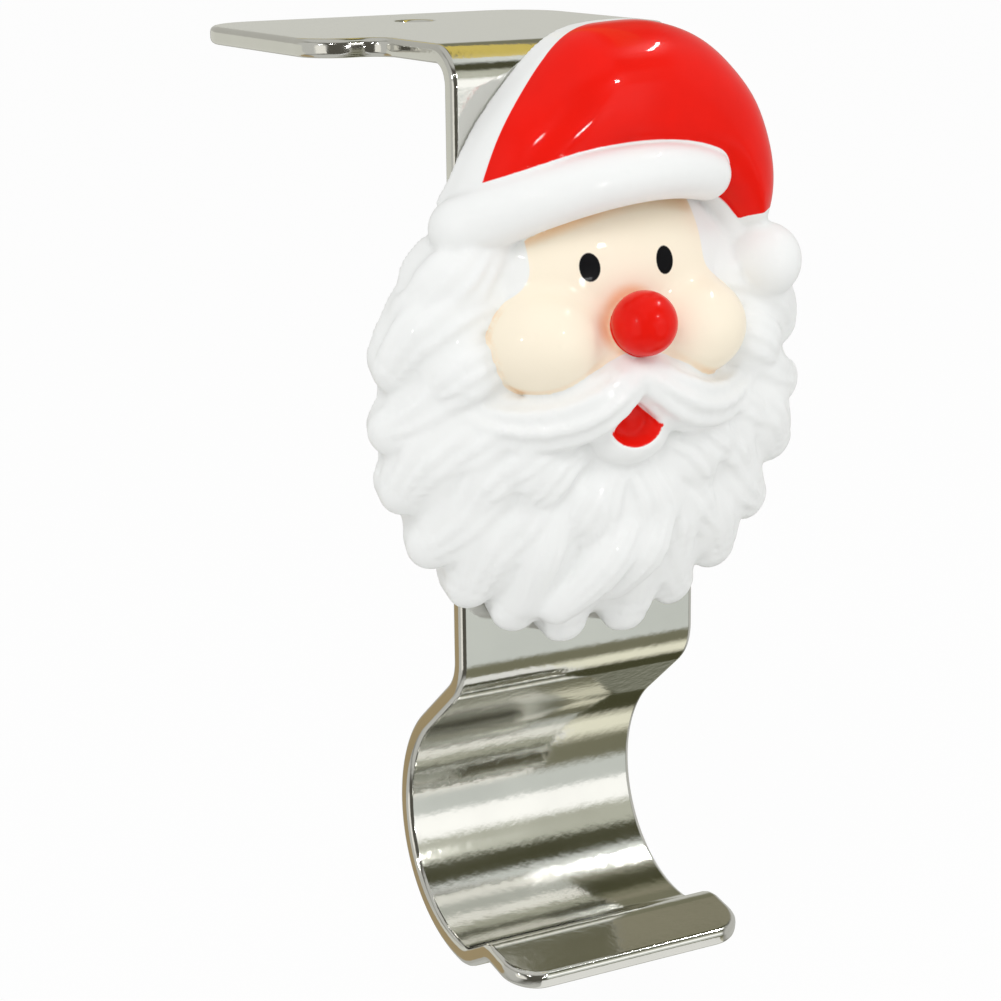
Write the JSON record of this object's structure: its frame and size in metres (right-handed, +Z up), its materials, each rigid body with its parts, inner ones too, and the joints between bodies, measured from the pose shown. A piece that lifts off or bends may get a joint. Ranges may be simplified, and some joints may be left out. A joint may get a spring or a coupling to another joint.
{
  "type": "mantel stocking holder",
  "caption": "Plated strip bent into a shelf plate, an upright run and an open hook with a turned-up lip, with a painted bearded winter head in a drooping cap on its front.",
  "frame": {"origin": "the shelf's top front corner: the plate's underside is z = 0, the back of the upright run is y = 0, and x = 0 is the strip's mid-line", "axes": "+Z up, -Y out of the shelf's front towards the viewer, +X along the shelf to the viewer's right"},
  "size_m": [0.0668, 0.0829, 0.1299],
  "materials": {
    "plated_strip": "polished plating",
    "painted_head": "glossy paint over white moulding"
  },
  "bodies": {
    "root": {"hook_strip": "plated_strip", "figure_head": "painted_head"}
  },
  "joints": []
}
